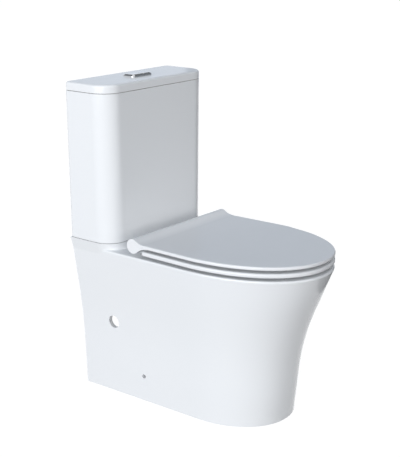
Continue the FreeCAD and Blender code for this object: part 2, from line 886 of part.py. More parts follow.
def ring_shape():
    base = float(ring_base)
    face = Part.Face(seat_outline(mm.ring_inset, mm.ring_rear_reach, base))
    plate = face.extrude(Vector(0, 0, mm.ring_thickness))
    corners = [edge for edge in plate.Edges
               if upright(edge) and abs(edge.CenterOfMass.y + mm.ring_rear_reach) < 1]
    plate = plate.makeFillet(mm.ring_rear_corner, corners)
    half_length, half_width, middle = ring_hole(0)
    centre = Vector(0, -middle, base)
    long_axis, short_axis = Vector(0, -half_length, 0), Vector(half_width, 0, 0)
    if half_length < half_width:
        long_axis, short_axis = short_axis, -long_axis
    oval = Part.Ellipse(centre + long_axis, centre + short_axis, centre)
    plate = plate.cut(Part.Face(Part.Wire([oval.toShape()])).extrude(Vector(0, 0, mm.ring_thickness)))
    brims = [edge for edge in plate.Edges if edge.BoundBox.ZLength < 0.01]
    plate = plate.makeFillet(mm.ring_edge, brims)

    axis_y, axis_z = -mm.hinge_reach, float(hinge_level)
    half = mm.knuckle_half
    root = -mm.ring_rear_reach - mm.ring_edge * 2
    side = [
        Vector(-half, axis_y, axis_z),
        Vector(-half, axis_y, axis_z - mm.knuckle_radius),
        Vector(-half, root, base),
        Vector(-half, root, float(ring_face)),
    ]
    tongue = Part.Face(Part.makePolygon(side + side[:1])).extrude(Vector(2 * half, 0, 0))
    knuckle = Part.makeCylinder(mm.knuckle_radius, 2 * half, side[0], Vector(1, 0, 0))
    ring = plate.fuse([tongue, knuckle])
    for end in (-1, 1):
        start = Vector(end * half, axis_y, axis_z)
        ring = ring.cut(Part.makeCylinder(mm.damper_radius, mm.damper_length, start, Vector(-end, 0, 0)))
    return ring.removeSplitter().Solids[0]


def barrel_face(x):
    """Side view of the lid's hinge barrel with its hollow blends into the plate."""
    axis = Vector(x, -mm.hinge_reach, float(hinge_level))
    under = float(seat_lid_base)
    over = under + mm.seat_lid_thickness

    def blend(radius, level, way):
        rise = level + way * radius - axis.z
        run = math.sqrt((mm.barrel_radius + radius) ** 2 - rise ** 2)
        middle = Vector(x, axis.y - run, level + way * radius)
        foot = Vector(x, axis.y - run, level)
        touch = axis + (middle - axis).normalize() * mm.barrel_radius
        bulge = middle + ((foot + touch) / 2 - middle).normalize() * radius
        return foot, bulge, touch

    top_foot, top_bulge, top_touch = blend(mm.barrel_blend_top, over, 1)
    low_foot, low_bulge, low_touch = blend(mm.barrel_blend_under, under, -1)
    rear = axis + Vector(0, mm.barrel_radius, 0)
    return Part.Face(Part.Wire([
        Part.Arc(top_foot, top_bulge, top_touch).toShape(),
        Part.Arc(top_touch, rear, low_touch).toShape(),
        Part.Arc(low_touch, low_bulge, low_foot).toShape(),
        Part.LineSegment(low_foot, top_foot).toShape(),
    ]))


def seat_lid_shape():
    base = float(seat_lid_base)
    axis_y, axis_z = -mm.hinge_reach, float(hinge_level)
    back = mm.hinge_reach + mm.barrel_radius / 2
    plate = Part.Face(seat_outline(0, back, base)).extrude(Vector(0, 0, mm.seat_lid_thickness))
    brims = [edge for edge in plate.Edges
             if edge.BoundBox.ZLength < 0.01 and edge.CenterOfMass.y < -back - 1]
    plate = plate.makeFillet(mm.seat_lid_edge, brims)
    half = mm.seat_rear_width / 2
    lid = plate.fuse(barrel_face(-half).extrude(Vector(2 * half, 0, 0)))

    # room for the posts and for the knuckle of the ring, under a hood
    inside = mm.hood_half
    far = 3 * mm.barrel_radius
    rear_turn = math.radians(mm.hood_angle)
    hood_start = Vector(-inside, axis_y, axis_z)
    hood_room = Part.makeCylinder(mm.barrel_radius - mm.hood_wall, 2 * inside, hood_start, Vector(1, 0, 0))
    lid = lid.cut(hood_room)
    lid = lid.cut(Part.makeBox(2 * inside, 2 * far, far, Vector(-inside, axis_y - far, base - far)))
    wedge = [
        Vector(-inside, axis_y, axis_z - mm.hood_wall),
        Vector(-inside, axis_y, axis_z),
        Vector(-inside, axis_y - far * math.cos(rear_turn), axis_z + far * math.sin(rear_turn)),
        Vector(-inside, axis_y + far, axis_z + far),
        Vector(-inside, axis_y + far, axis_z - mm.hood_wall),
    ]
    lid = lid.cut(Part.Face(Part.makePolygon(wedge + wedge[:1])).extrude(Vector(2 * inside, 0, 0)))
    for end in (-1, 1):
        start = Vector(end * inside, axis_y, axis_z)
        lid = lid.cut(Part.makeCylinder(mm.damper_radius, mm.damper_length, start, Vector(end, 0, 0)))
    return lid.removeSplitter().Solids[0]


def make_buffers(label, base, height):
    discs = []
    for turn in (-140, -35, 35, 140):
        x, y = seat_spot(math.radians(turn))
        discs.append(Part.makeCylinder(mm.buffer_radius, height, Vector(x, y, base)))
    return shaped(label, Part.makeCompound(discs))


shaped("seat_ring", ring_shape())
shaped("seat_lid", seat_lid_shape())
make_buffers("ring_buffers", mm.rim_height + mm.buffer_gap, mm.ring_gap - mm.buffer_gap)
make_buffers("lid_buffers", float(ring_face) + mm.buffer_gap, mm.lid_gap - mm.buffer_gap)


# Seat hinge
hinge_y = wall - size.hinge_reach
post_x = size.hinge_spacing / 2
along_x = Vector(1, 0, 0)


def make_hinge_posts():
    foot_base = deck + size.free_play
    column_height = hinge_level - foot_base
    column = block("post_column", post_x, hinge_y, foot_base + column_height / 2,
                   size.post_width, size.post_depth, column_height)
    top = cylinder("post_top", size.post_radius, size.post_width, post_x - size.post_width / 2,
                   hinge_y, hinge_level, along_x)
    foot = cylinder("post_foot", size.post_foot_radius, size.post_foot_height, post_x, hinge_y, foot_base)
    recess = cylinder("post_recess", size.rose_radius, size.rose_height - size.free_play,
                      post_x, hinge_y, foot_base)
    bore = cylinder("post_bore", size.pin_radius, size.post_width, post_x - size.post_width / 2,
                    hinge_y, hinge_level, along_x)
    return pair("hinge_posts", cut("hinge_post", fuse("post_body", [column, top, foot]), [recess, bore]))


def make_damper(label, inner_end, pin_end, facing):
    """Cartridge on the hinge axis with a socket for the end of the pin."""
    body = new_body(f"{label}_body")
    socket = size.pin_radius + size.running_play
    depth = (pin_end - inner_end) * facing + size.free_play
    corners = [(socket, zero), (size.damper_radius, zero), (size.damper_radius, size.damper_length),
               (zero, size.damper_length), (zero, depth), (socket, depth)]
    sketch = polygon(body, f"{label}_profile", "XZ_Plane", corners)
    turn = body.newObject("PartDesign::Revolution", f"{label}_turn")
    turn.Profile = sketch
    turn.ReferenceAxis = (sketch, ["V_Axis"])
    turn.Angle = 360
    body.Tip = turn
    body.Placement = Placement(Vector(0, 0, 0), Rotation(Vector(0, 1, 0), 90 * facing))
    place(body, inner_end, hinge_y, hinge_level)
    return pair(label, body)


def make_hinge_fixings():
    rose_seat = size.rose_height - size.seat_bolt_head_height
    head_room = size.seat_bolt_head_radius + size.free_play
    rose = turned("hinge_rose", [
        (size.seat_bolt_radius, zero), (size.rose_radius, zero), (size.rose_radius, size.rose_height),
        (head_room, size.rose_height), (head_room, rose_seat), (size.seat_bolt_radius, rose_seat),
    ], post_x, hinge_y, deck)
    pair("hinge_roses", rose)
    bolt = turned("hinge_bolt", [
        (zero, -size.seat_bolt_length), (size.seat_bolt_radius, -size.seat_bolt_length),
        (size.seat_bolt_radius, zero), (size.seat_bolt_head_radius, zero),
        (size.seat_bolt_head_radius, size.seat_bolt_head_height), (zero, size.seat_bolt_head_height),
    ], post_x, hinge_y, deck + rose_seat)
    pair("hinge_bolts", bolt)
    bush_base = rose_seat - size.seat_bolt_length
    bush = turned("hinge_bush", tube_profile(size.seat_bolt_radius, size.bush_radius, bush_base, zero),
                  post_x, hinge_y, deck)
    pair("hinge_bushes", bush)


make_hinge_posts()
pair("hinge_pins", cylinder("hinge_pin", size.pin_radius, size.pin_outer - size.pin_inner, size.pin_inner,
                            hinge_y, hinge_level, along_x))
make_damper("lid_dampers", size.hood_half, size.pin_outer, 1)
make_damper("ring_dampers", size.knuckle_half, size.pin_inner, -1)
make_hinge_fixings()

# Flush plate with its buttons, rods and springs
button_y = wall - size.button_reach
frame_face = lid_face + size.frame_height
button_face = frame_face + size.button_rise
button_base = button_face - size.button_height
sleeve_floor = lid_face - size.sleeve_depth + size.sleeve_wall
well_half_length = size.sleeve_length / 2 - size.sleeve_wall
well_half_width = size.sleeve_width / 2 - size.sleeve_wall
well_corner = size.sleeve_corner - size.sleeve_wall
lever_face = pivot_level + size.lever_thickness / 2


def make_button_frame():
    body = new_body("button_frame")
    plate = rounded(body, "frame_outline", size.frame_length / 2, -size.frame_width / 2,
                    size.frame_width / 2, size.frame_corner, size.frame_corner)
    extrude(body, "Pad", "frame_plate", plate, size.frame_height)
    dress(body, "Chamfer", "frame_bevel", size.frame_edge, level_edge(mm.frame_height))
    sleeve = rounded(body, "sleeve_outline", size.sleeve_length / 2, -size.sleeve_width / 2,
                     size.sleeve_width / 2, size.sleeve_corner, size.sleeve_corner)
    extrude(body, "Pad", "frame_sleeve", sleeve, size.sleeve_depth, reverse=True)
    well = rounded(body, "well_outline", well_half_length, -well_half_width, well_half_width,
                   well_corner, well_corner, size.frame_height)
    extrude(body, "Pocket", "frame_well", well, size.frame_height + size.sleeve_depth - size.sleeve_wall)
    guides = new_sketch(body, "rod_guides", "XY_Plane", -size.sleeve_depth)
    for side in (-1, 1):
        add_circle(guides, size.rod_spread * side, size.lever_offset * -side,
                   size.rod_radius + size.free_play)
    extrude(body, "Pocket", "frame_guides", guides, size.sleeve_wall * 2, reverse=True)
    place(body, zero, button_y, lid_face)
    return keep("button_frame", body)


def make_button_clamp():
    body = new_body("button_clamp")
    outside = rounded(body, "clamp_outline", size.sleeve_length / 2 + size.clamp_margin,
                      -size.sleeve_width / 2 - size.clamp_margin, size.sleeve_width / 2 + size.clamp_margin,
                      size.sleeve_corner + size.clamp_margin, size.sleeve_corner + size.clamp_margin)
    extrude(body, "Pad", "clamp_plate", outside, size.clamp_height)
    inside = rounded(body, "clamp_inside", size.sleeve_length / 2, -size.sleeve_width / 2,
                     size.sleeve_width / 2, size.sleeve_corner, size.sleeve_corner)
    extrude(body, "Pocket", "clamp_opening", inside, size.clamp_height, reverse=True)
    place(body, zero, button_y, lid_plate - size.clamp_height)
    return keep("button_clamp", body)


def make_button(label, left, right):
    body = new_body(label)
    half_width = well_half_width - size.button_play
    corner = well_corner - size.button_play
    outline = rounded_between(body, f"{label}_outline", left, right, -half_width, half_width, corner, corner)
    extrude(body, "Pad", f"{label}_cap", outline, size.button_height)
    dress(body, "Fillet", f"{label}_round", size.button_edge, level_edge(mm.button_height))
    place(body, zero, button_y, button_base)
    return keep(label, body)


def make_rod(label, side):
    length = button_base - lever_face - size.rod_gap
    rod = turned(label, [
        (zero, -length), (size.rod_tip_radius, -length), (size.rod_radius, size.rod_tip_length - length),
        (size.rod_radius, zero), (zero, zero),
    ], size.rod_spread * side, button_y - size.lever_offset * side, button_base)
    return keep(label, rod)


def biarc(start, leaving, end, arriving):
    """Two arcs that leave and arrive along the given directions."""
    chord = end - start
    both = leaving + arriving
    slack = 2 * (1 - leaving.dot(arriving))
    reach = (math.sqrt(chord.dot(both) ** 2 + slack * chord.dot(chord)) - chord.dot(both)) / slack
    first_corner = start + leaving * reach
    last_corner = end - arriving * reach
    joint = (first_corner + last_corner) / 2
    arcs = []
    for one, corner, other in ((start, first_corner, joint), (joint, last_corner, end)):
        chord_middle = (one + other) / 2
        half_angle = (one - corner).getAngle(chord_middle - corner)
        sagitta = reach / math.cos(half_angle) - reach * math.tan(half_angle)
        middle = corner + (chord_middle - corner).normalize() * sagitta
        arcs.append(Part.Arc(one, middle, other).toShape())
    return arcs


def make_spring(label, side):
    """Open coil round a rod, between the floor of the sleeve and the button."""
    low = float(sleeve_floor) + mm.spring_wire + mm.buffer_gap
    high = float(button_base) - mm.spring_wire - mm.buffer_gap
    middle = Vector(mm.rod_spread * side, -mm.button_reach - mm.lever_offset * side, low)
    quarters = int(mm.spring_turns * 4)
    climb = (high - low) / quarters
    path = []
    for quarter in range(quarters):
        spots = []
        headings = []
        for corner in (quarter, quarter + 1):
            turn = corner * math.pi / 2
            round_wall = Vector(math.cos(turn), math.sin(turn), 0)
            spots.append(middle + round_wall * mm.spring_radius + Vector(0, 0, climb * corner))
            lead = Vector(-math.sin(turn), math.cos(turn), climb / (mm.spring_radius * math.pi / 2))
            headings.append(lead.normalize())
        path += biarc(spots[0], headings[0], spots[1], headings[1])
    wire = Part.Wire(path)
    section = Part.Circle(wire.Vertexes[0].Point, Vector(0, 1, 0), mm.spring_wire)
    coil = wire.makePipeShell([Part.Wire([section.toShape()])], True, False)
    print(label, "least gap between turns", round(climb * 4 - 2 * mm.spring_wire, 2))
    return shaped(label, coil)


make_button_frame()
make_button_clamp()
make_button("full_button", size.button_play - well_half_length, size.button_split - size.button_play)
make_button("half_button", size.button_split + size.button_play, well_half_length - size.button_play)
for name, side in (("full", -1), ("half", 1)):
    make_rod(f"{name}_rod", side)
    make_spring(f"{name}_spring", side)

# Flush valve
seat_level = valve_deck + size.valve_seat_height
seal_face = seat_level + size.seal_height
cage_top = valve_deck + size.cage_height
neck_top = cage_top + size.neck_height
tube_bore = size.tube_radius + size.tube_play
along_y = Vector(0, 1, 0)


def make_valve_base():
    top = size.valve_flange_height + size.valve_seat_height
    return keep("valve_base", turned("valve_base", [
        (size.tail_bore, -size.tail_length), (size.tail_radius, -size.tail_length), (size.tail_radius, zero),
        (size.valve_flange_radius, zero), (size.valve_flange_radius, size.valve_flange_height),
        (size.tail_radius, size.valve_flange_height), (size.tail_radius, top), (size.tail_bore, top),
    ], zero, button_y, valve_level))


def make_valve_tower():
    inner = size.cage_radius - size.cage_wall
    shoulder = size.cage_height - size.cage_wall
    top = size.cage_height + size.neck_height
    shell = turned("tower_shell", [
        (inner, zero), (size.cage_radius, zero), (size.cage_radius, size.cage_height),
        (size.neck_radius, size.cage_height), (size.neck_radius, top), (tube_bore, top),
        (tube_bore, shoulder), (inner, shoulder),
    ], zero, button_y, valve_deck)
    window_level = valve_deck + size.cage_sill + size.cage_window_height / 2
    through = size.cage_radius * 4
    window = size.cage_window_width
    windows = [
        block("window_across", zero, button_y, window_level, through, window, size.cage_window_height),
        block("window_along", zero, button_y, window_level, window, through, size.cage_window_height),
    ]
    head_width = (size.pillar_half + size.pillar_depth) * 2
    head = block("tower_head", zero, button_y, neck_top - size.head_height / 2,
                 size.pillar_width, head_width, size.head_height)
    pillar_top = pivot_level + size.lever_boss
    pillar_base = neck_top - size.head_height
    pillars = []
    for side in (-1, 1):
        pillar_y = button_y + (size.pillar_half + size.pillar_depth / 2) * side
        pillars.append(block("tower_pillar", zero, pillar_y, (pillar_top + pillar_base) / 2,
                             size.pillar_width, size.pillar_depth, pillar_top - pillar_base))
    bore = cylinder("tower_bore", tube_bore, size.head_height, zero, button_y, pillar_base)
    eye = cylinder("tower_eye", size.lever_pin_radius, head_width, zero, button_y - head_width / 2,
                   pivot_level, along_y)
    keep("lever_pin", cylinder("lever_pin", size.lever_pin_radius, head_width, zero,
                               button_y - head_width / 2, pivot_level, along_y))
    frame = cut("tower_frame", fuse("tower_arms", [head] + pillars), [bore])
    return keep("valve_tower", cut("valve_tower", fuse("tower_body", [shell, frame]), windows + [eye]))


def make_lever(label, side):
    """Rocker pressed by its rod at one end, its other end in a lifting eye."""
    press_end = size.rod_spread + size.rod_radius
    length = press_end + size.lever_end
    middle = (press_end - size.lever_end) / 2 * side
    bar = block(f"{label}_bar", middle, button_y - size.lever_offset * side, pivot_level,
                length, size.lever_width, size.lever_thickness)
    boss_length = size.pillar_half - size.free_play * 2
    boss_middle = button_y - size.pillar_half / 2 * side
    boss = cylinder(f"{label}_boss", size.lever_boss, boss_length, zero, boss_middle - boss_length / 2,
                    pivot_level, along_y)
    bore = cylinder(f"{label}_bore", size.lever_pin_radius + size.running_play, boss_length * 2, zero,
                    boss_middle - boss_length, pivot_level, along_y)
    return keep(label, cut(label, fuse(f"{label}_body", [bar, boss]), [bore]))


def lifting_eye(name, x, y, level, base):
    """Upright strap with a window for the end of a lever."""
    width = size.lever_width + (size.eye_cheek + size.free_play) * 2
    top = level + size.eye_window / 2 + size.eye_top
    strap = block(f"{name}_strap", x, y, (top + base) / 2, size.eye_thickness, width, top - base)
    window = block(f"{name}_window", x, y, level, size.eye_thickness * 2,
                   size.lever_width + size.free_play * 2, size.eye_window)
    return cut(f"{name}_eye", strap, [window])


def make_overflow_tube():
    inner = size.tube_radius - size.tube_wall
    foot_radius = size.seal_radius - size.seal_height
    height = size.tube_top - seal_face
    tube = turned("tube_body", [
        (inner, zero), (foot_radius, zero), (foot_radius, size.tube_wall),
        (size.tube_radius, size.tube_wall), (size.tube_radius, height), (inner, height),
    ], zero, button_y, seal_face)
    arm_base = pivot_level - size.eye_arm_drop
    eye_y = button_y + size.lever_offset
    eye = lifting_eye("tube", size.lever_lift, eye_y, pivot_level, arm_base)
    arm_start = size.tube_radius - size.tube_wall / 2
    arm_end = size.lever_lift
    arm = block("tube_arm", (arm_start + arm_end) / 2, eye_y, arm_base + size.lever_thickness / 2,
                arm_end - arm_start, size.lever_width, size.lever_thickness)
    keep("overflow_tube", fuse("overflow_tube", [tube, eye, arm]))
    keep("valve_seal", turned("valve_seal", tube_profile(inner, size.seal_radius, zero, size.seal_height),
                              zero, button_y, seat_level))


def make_half_float():
    base = cage_top + size.free_play
    eye_y = button_y - size.lever_offset
    eye = lifting_eye("half", -size.lever_lift, eye_y, pivot_level, base)
    outer = size.lever_lift - size.eye_thickness / 2 + size.half_float_length / 2
    chamber = block("half_chamber", -outer, eye_y, base + size.half_float_height / 2,
                    size.half_float_length, size.half_float_width, size.half_float_height)
    return keep("half_float", fuse("half_float", [eye, chamber]))


make_valve_base()
keep("valve_washer", turned("valve_washer", tube_profile(
    size.tail_radius + size.free_play, size.valve_flange_radius, zero, size.valve_washer_height),
    zero, button_y, tank_floor))
keep("valve_nut", nut("valve_nut", size.valve_nut_radius, size.tail_radius, size.valve_nut_height,
                      zero, button_y, tank_base - size.valve_nut_height))
keep("tank_gasket", turned("tank_gasket", tube_profile(
    size.gasket_inner, size.gasket_outer, zero, tank_base - deck), zero, button_y, deck))
make_valve_tower()
make_lever("full_lever", -1)
make_lever("half_lever", 1)
make_overflow_tube()
make_half_float()

# Fill valve
fill_x = -fill_spread
head_top = size.riser_top + size.fill_head_height
fill_pivot_level = head_top + size.fill_lever_rise
fill_pivot_x = fill_x - size.fill_pivot
fill_link_x = fill_x + size.fill_link


def make_fill_body():
    top = size.riser_top - fill_level
    inlet_top = size.inlet_length - size.shank_length
    return keep("fill_body", turned("fill_body", [
        (size.shank_bore, -size.shank_length), (size.inlet_radius, -size.shank_length),
        (size.inlet_radius, inlet_top), (size.shank_radius, inlet_top),
        (size.shank_radius, zero), (size.fill_flange_radius, zero),
        (size.fill_flange_radius, size.fill_flange_height), (size.riser_radius, size.fill_flange_height),
        (size.riser_radius, top), (size.shank_bore, top),
    ], fill_x, button_y, fill_level))


def make_fill_head():
    drum = cylinder("head_drum", size.fill_head_radius, size.fill_head_height,
                    fill_x, button_y, size.riser_top)
    ear_height = size.fill_lever_rise + size.lever_thickness / 2 + size.fill_ear
    ear_y = size.lever_width / 2 + size.free_play + size.fill_ear / 2
    ears = []
    ear_middle = head_top + ear_height / 2 - size.fill_ear
    for side in (-1, 1):
        ears.append(block("head_ear", fill_pivot_x, button_y + ear_y * side, ear_middle,
                          size.lever_thickness, size.fill_ear, ear_height + size.fill_ear * 2))
    span = (ear_y + size.fill_ear / 2) * 2
    bore = cylinder("head_bore", size.fill_pin_radius, span, fill_pivot_x, button_y - span / 2,
                    fill_pivot_level, along_y)
    keep("fill_pin", cylinder("fill_pin", size.fill_pin_radius, span, fill_pivot_x, button_y - span / 2,
                              fill_pivot_level, along_y))
    return keep("fill_head", cut("fill_head", fuse("head_body", [drum] + ears), [bore]))


def make_fill_lever():
    tail = size.fill_pivot + size.lever_thickness
    tip = size.fill_link + size.eye_thickness
    bar = block("fill_bar", fill_x + (tip - tail) / 2, button_y, fill_pivot_level,
                tip + tail, size.lever_width, size.lever_thickness)
    bore = cylinder("fill_lever_bore", size.fill_pin_radius + size.running_play, size.lever_width,
                    fill_pivot_x, button_y - size.lever_width / 2, fill_pivot_level, along_y)
    return keep("fill_lever", cut("fill_lever", bar, [bore]))


def make_fill_float():
    inner = size.riser_radius + size.tube_play
    skin = size.fill_float_wall
    low = -size.fill_float_height
    cup = turned("float_cup", [
        (inner, low), (inner + skin, low), (inner + skin, -skin), (size.fill_float_radius - skin, -skin),
        (size.fill_float_radius - skin, low), (size.fill_float_radius, low), (size.fill_float_radius, zero),
        (inner, zero),
    ], fill_x, button_y, size.fill_float_top)
    eye = lifting_eye("fill", fill_link_x, button_y, fill_pivot_level, size.fill_float_top - skin)
    return keep("fill_float", fuse("fill_float", [cup, eye]))


make_fill_body()
make_fill_head()
make_fill_lever()
make_fill_float()
keep("fill_washer", turned("fill_washer", tube_profile(
    size.shank_radius + size.free_play, size.fill_flange_radius, zero, size.fill_washer_height),
    fill_x, button_y, tank_floor))
keep("fill_nut", nut("fill_nut", size.fill_nut_radius, size.shank_radius, size.fill_nut_height,
                     fill_x, button_y, tank_base - size.fill_nut_height))


# Fixings of the cistern on the pan
def make_cistern_fixings():
    seat = tank_floor + size.bolt_seal_height
    nut_face = deck_under - size.bolt_washer_height
    tail = nut_face - size.wing_height - size.bolt_tail
    length = seat - tail
    bolt = turned("cistern_bolt", [
        (zero, -length), (size.bolt_radius, -length), (size.bolt_radius, zero),
        (size.bolt_head_radius, zero), (size.bolt_head_radius, size.bolt_head_height),
        (zero, size.bolt_head_height),
    ], size.bolt_spread, button_y, seat)
    pair("cistern_bolts", bolt)
    seal = turned("bolt_seal", tube_profile(
        size.bolt_radius, size.bolt_seal_radius, zero, size.bolt_seal_height),
        size.bolt_spread, button_y, tank_floor)
    pair("bolt_seals", seal)
    washer = turned("bolt_washer", tube_profile(
        size.bolt_radius + size.free_play, size.bolt_washer_radius, zero, size.bolt_washer_height),
        size.bolt_spread, button_y, nut_face)
    pair("bolt_washers", washer)
    base = nut_face - size.wing_height
    hub = cylinder("wing_hub", size.wing_hub_radius, size.wing_height, size.bolt_spread, button_y, base)
    wings = block("wing_pair", size.bolt_spread, button_y, base + size.wing_height / 2,
                  size.wing_span * 2, size.wing_thickness, size.wing_height * 0.8)
    bore = cylinder("wing_bore", size.bolt_radius, size.wing_height, size.bolt_spread, button_y, base)
    pair("wing_nuts", cut("wing_nut", fuse("wing_body", [hub, wings]), [bore]))


make_cistern_fixings()


# Brackets that hold the pan to the floor, each with a screw through the skirt
def make_floor_fixings():
    bracket_y = wall - size.fixing_reach
    outer_x = size.foot_width / 2 - size.skirt_wall
    base = block("bracket_base", outer_x - size.bracket_length / 2, bracket_y, size.bracket_base / 2,
                 size.bracket_length, size.bracket_width, size.bracket_base)
    upright_part = block("bracket_upright", outer_x - size.bracket_upright / 2, bracket_y,
                         size.bracket_height / 2, size.bracket_upright, size.bracket_width,
                         size.bracket_height)
    floor_hole = cylinder("bracket_floor_hole", size.floor_hole_radius, size.bracket_base,
                          size.floor_hole_spread, bracket_y, zero)
    inner_x = outer_x - size.bracket_upright
    screw_hole = cylinder("bracket_screw_hole", size.side_screw_radius, size.bracket_upright,
                          inner_x, bracket_y, size.fixing_height, along_x)
    bracket = cut("floor_bracket", fuse("bracket_body", [base, upright_part]), [floor_hole, screw_hole])
    pair("floor_brackets", bracket)
    head_x = size.foot_width / 2 - size.side_screw_recess
    shank = cylinder("screw_shank", size.side_screw_radius, head_x - inner_x, inner_x, bracket_y,
                     size.fixing_height, along_x)
    head = cylinder("screw_head", size.side_screw_head, size.side_screw_head_height, head_x, bracket_y,
                    size.fixing_height, along_x)
    pair("side_screws", fuse("side_screw", [shank, head]))


make_floor_fixings()
doc.recompute()

# Check every object, then write one file for each sub-part
for thing in doc.Objects:
    if "Invalid" in thing.State or "Error" in thing.State:
        raise RuntimeError(f"{thing.Label} did not build: {thing.State}")
os.makedirs("parts", exist_ok=True)
for label, thing in subparts.items():
    if thing.Shape.isNull() or not thing.Shape.isValid():
        raise RuntimeError(f"{label} has no valid shape")
    thing.Shape.exportStep(f"parts/{label}.step")
    print(label, len(thing.Shape.Solids), round(thing.Shape.Volume))
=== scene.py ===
import json
import math

import bmesh
import bpy
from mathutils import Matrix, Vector
from mathutils.bvhtree import BVHTree


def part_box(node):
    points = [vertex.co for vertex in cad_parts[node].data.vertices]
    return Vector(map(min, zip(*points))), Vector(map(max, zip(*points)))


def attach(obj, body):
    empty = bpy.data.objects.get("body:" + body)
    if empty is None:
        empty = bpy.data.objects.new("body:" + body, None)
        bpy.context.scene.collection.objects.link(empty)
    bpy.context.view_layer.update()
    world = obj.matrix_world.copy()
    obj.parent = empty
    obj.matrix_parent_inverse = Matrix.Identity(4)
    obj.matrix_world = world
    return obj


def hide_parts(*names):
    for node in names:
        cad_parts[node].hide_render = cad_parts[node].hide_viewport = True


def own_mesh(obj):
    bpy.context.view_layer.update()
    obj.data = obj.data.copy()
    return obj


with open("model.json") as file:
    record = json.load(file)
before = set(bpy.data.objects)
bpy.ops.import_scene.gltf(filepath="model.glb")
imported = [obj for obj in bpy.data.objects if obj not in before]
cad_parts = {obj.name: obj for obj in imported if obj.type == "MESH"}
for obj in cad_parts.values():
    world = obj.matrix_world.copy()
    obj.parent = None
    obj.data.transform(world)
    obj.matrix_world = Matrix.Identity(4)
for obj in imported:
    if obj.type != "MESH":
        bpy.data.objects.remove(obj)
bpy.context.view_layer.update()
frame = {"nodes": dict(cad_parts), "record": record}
nodes = frame["nodes"]
print("frame loaded with", len(nodes), "nodes")

plainWhite = (1, 1, 1, 1)


# small helpers for node trees
def addNode(tree, kind, **sockets):
    node = tree.nodes.new(kind)
    for name, value in sockets.items():
        node.inputs[name.replace("_", " ")].default_value = value
    return node


def join(tree, source, output, target, socket):
    tree.links.new(source.outputs[output], target.inputs[socket])


def mathNode(tree, operation, first, second):
    node = tree.nodes.new("ShaderNodeMath")
    node.operation = operation
    for slot, value in enumerate((first, second)):
        if isinstance(value, (int, float)):
            node.inputs[slot].default_value = value
        else:
            tree.links.new(value, node.inputs[slot])
    return node.outputs[0]


def newGroup(name, inputs, outputs):
    group = bpy.data.node_groups.new(name, "ShaderNodeTree")
    for label, value in inputs.items():
        socket = group.interface.new_socket(label, in_out="INPUT", socket_type="NodeSocketFloat")
        socket.default_value = value
    for label in outputs:
        group.interface.new_socket(label, in_out="OUTPUT", socket_type="NodeSocketFloat")
    return group, group.nodes.new("NodeGroupInput"), group.nodes.new("NodeGroupOutput")


def useGroup(tree, group, **sockets):
    node = tree.nodes.new("ShaderNodeGroup")
    node.node_tree = group
    for name, value in sockets.items():
        node.inputs[name.replace("_", " ")].default_value = value
    return node


def objectPoint(tree, stretch=(1, 1, 1)):
    place = tree.nodes.new("ShaderNodeTexCoord")
    mapping = addNode(tree, "ShaderNodeMapping", Scale=stretch)
    join(tree, place, "Object", mapping, "Vector")
    return mapping.outputs["Vector"]


def noiseNode(tree, point, scale, detail, roughness=0.5):
    noise = addNode(tree, "ShaderNodeTexNoise", Detail=detail, Roughness=roughness)
    tree.links.new(point, noise.inputs["Vector"])
    if isinstance(scale, (int, float)):
        noise.inputs["Scale"].default_value = scale
    else:
        tree.links.new(scale, noise.inputs["Scale"])
    return noise.outputs["Fac"]


def mixColour(tree, mask, low, high):
    mix = tree.nodes.new("ShaderNodeMix")
    mix.data_type = "RGBA"
    tree.links.new(mask, mix.inputs["Factor"])
    for socket, value in ((mix.inputs[6], low), (mix.inputs[7], high)):
        if isinstance(value, tuple):
            socket.default_value = value
        else:
            tree.links.new(value, socket)
    return mix.outputs[2]


def bumpFrom(tree, height, shader, strength, distance):
    bump = addNode(tree, "ShaderNodeBump", Strength=strength, Distance=distance)
    tree.links.new(height, bump.inputs["Height"])
    join(tree, bump, "Normal", shader, "Normal")


# shared surface effects
glazeMarks = {"wave": 7.0, "peel": 220.0, "peelShare": 0.06, "cloud": 4.0, "dots": 55.0, "pinhole": 0.014}
smudgeSpan = (0.35, 0.65)       # the noise seldom leaves this span
brushStretch = (1, 1, 40)


def makeGlazeSkin(marks):
    inputs = {"Wave Scale": marks["wave"], "Peel Scale": marks["peel"], "Peel Share": marks["peelShare"]}
    group, given, out = newGroup("glazeSkin", inputs, ["Height", "Cloud", "Pinhole"])
    point = objectPoint(group)
    wave = noiseNode(group, point, given.outputs["Wave Scale"], 2)      # slow run of the glaze
    peel = noiseNode(group, point, given.outputs["Peel Scale"], 1)      # orange peel
    share = mathNode(group, "MULTIPLY", peel, given.outputs["Peel Share"])
    group.links.new(mathNode(group, "ADD", wave, share), out.inputs["Height"])
    group.links.new(noiseNode(group, point, marks["cloud"], 3), out.inputs["Cloud"])
    dots = addNode(group, "ShaderNodeTexVoronoi", Scale=marks["dots"])
    group.links.new(point, dots.inputs["Vector"])
    small = mathNode(group, "LESS_THAN", dots.outputs["Distance"], marks["pinhole"])    # rare pinholes
    group.links.new(small, out.inputs["Pinhole"])
    return group


def makeMouldGrain():
    group, given, out = newGroup("mouldGrain", {"Grain Scale": 900.0, "Flow Scale": 12.0}, ["Height", "Flow"])
    point = objectPoint(group)
    group.links.new(noiseNode(group, point, given.outputs["Grain Scale"], 2), out.inputs["Height"])
    group.links.new(noiseNode(group, point, given.outputs["Flow Scale"], 3, 0.6), out.inputs["Flow"])
    return group


